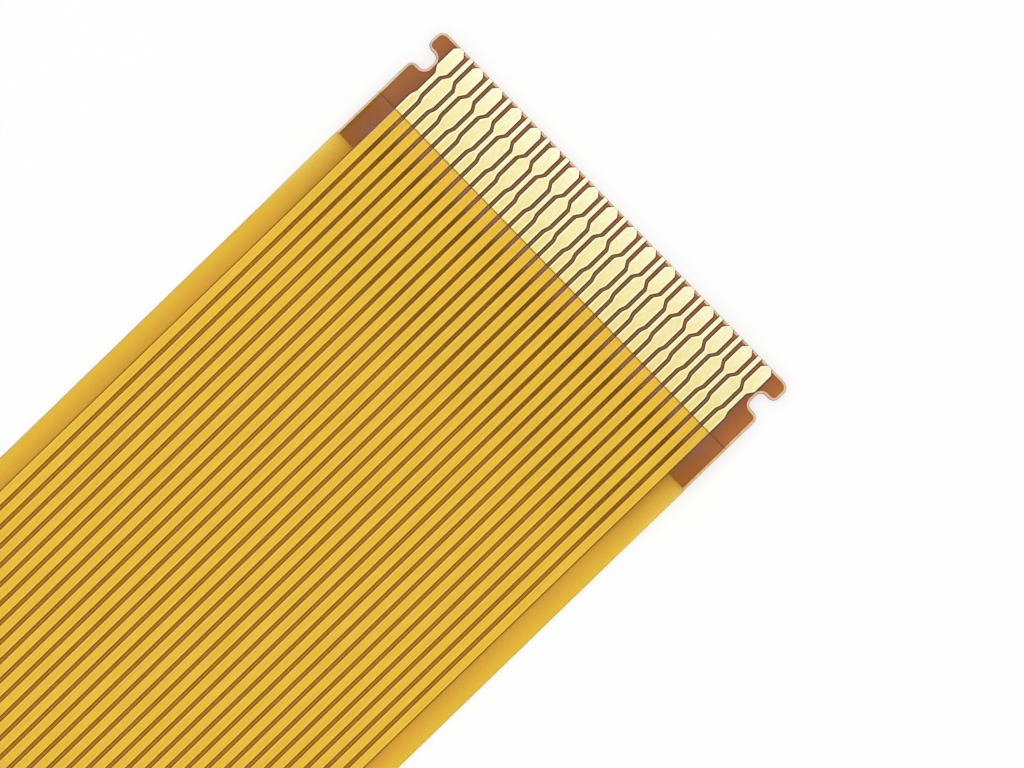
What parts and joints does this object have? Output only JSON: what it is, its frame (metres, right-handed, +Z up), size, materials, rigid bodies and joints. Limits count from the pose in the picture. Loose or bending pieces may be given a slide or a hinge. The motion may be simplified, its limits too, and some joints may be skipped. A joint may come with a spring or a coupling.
{
  "type": "flat flex cable",
  "caption": "Flat flexible printed cable of amber film with parallel conductors, staggered gold contacts and locking notches at both stiffened ends.",
  "frame": {"origin": "middle of the surface that the cable lies on, halfway along and across it", "axes": "+Y along the cable towards its front end, +X across the conductors, +Z up out of the contact side"},
  "size_m": [0.011, 0.07, 0.0002],
  "materials": {
    "base_film": "clear amber polyimide film, glossy",
    "coverlay_adhesive": "clear amber cured adhesive",
    "coverlay_film": "clear amber polyimide film, satin gloss",
    "stiffener": "thick brown polyimide film, satin gloss",
    "stiffener_bond": "cured brown adhesive sheet",
    "conductor": "rolled copper foil, satin",
    "contact_plating": "pale gold over nickel, finely matt"
  },
  "bodies": {
    "root": {"base_film": "base_film", "coverlay_adhesive": "coverlay_adhesive", "coverlay_film": "coverlay_film", "stiffener_front": "stiffener", "stiffener_bond_front": "stiffener_bond", "contact_plating_front": "contact_plating", "stiffener_rear": "stiffener", "stiffener_bond_rear": "stiffener_bond", "contact_plating_rear": "contact_plating", "conductor_1": "conductor", "conductor_2": "conductor", "conductor_3": "conductor", "conductor_4": "conductor", "conductor_5": "conductor", "conductor_6": "conductor", "conductor_7": "conductor", "conductor_8": "conductor", "conductor_9": "conductor", "conductor_10": "conductor", "conductor_11": "conductor", "conductor_12": "conductor", "conductor_13": "conductor", "conductor_14": "conductor", "conductor_15": "conductor", "conductor_16": "conductor", "conductor_17": "conductor", "conductor_18": "conductor", "conductor_19": "conductor", "conductor_20": "conductor", "conductor_21": "conductor", "conductor_22": "conductor", "conductor_23": "conductor", "conductor_24": "conductor", "conductor_25": "conductor", "conductor_26": "conductor", "conductor_27": "conductor", "conductor_28": "conductor", "conductor_29": "conductor", "conductor_30": "conductor", "conductor_31": "conductor", "conductor_32": "conductor", "conductor_33": "conductor"}
  },
  "joints": []
}
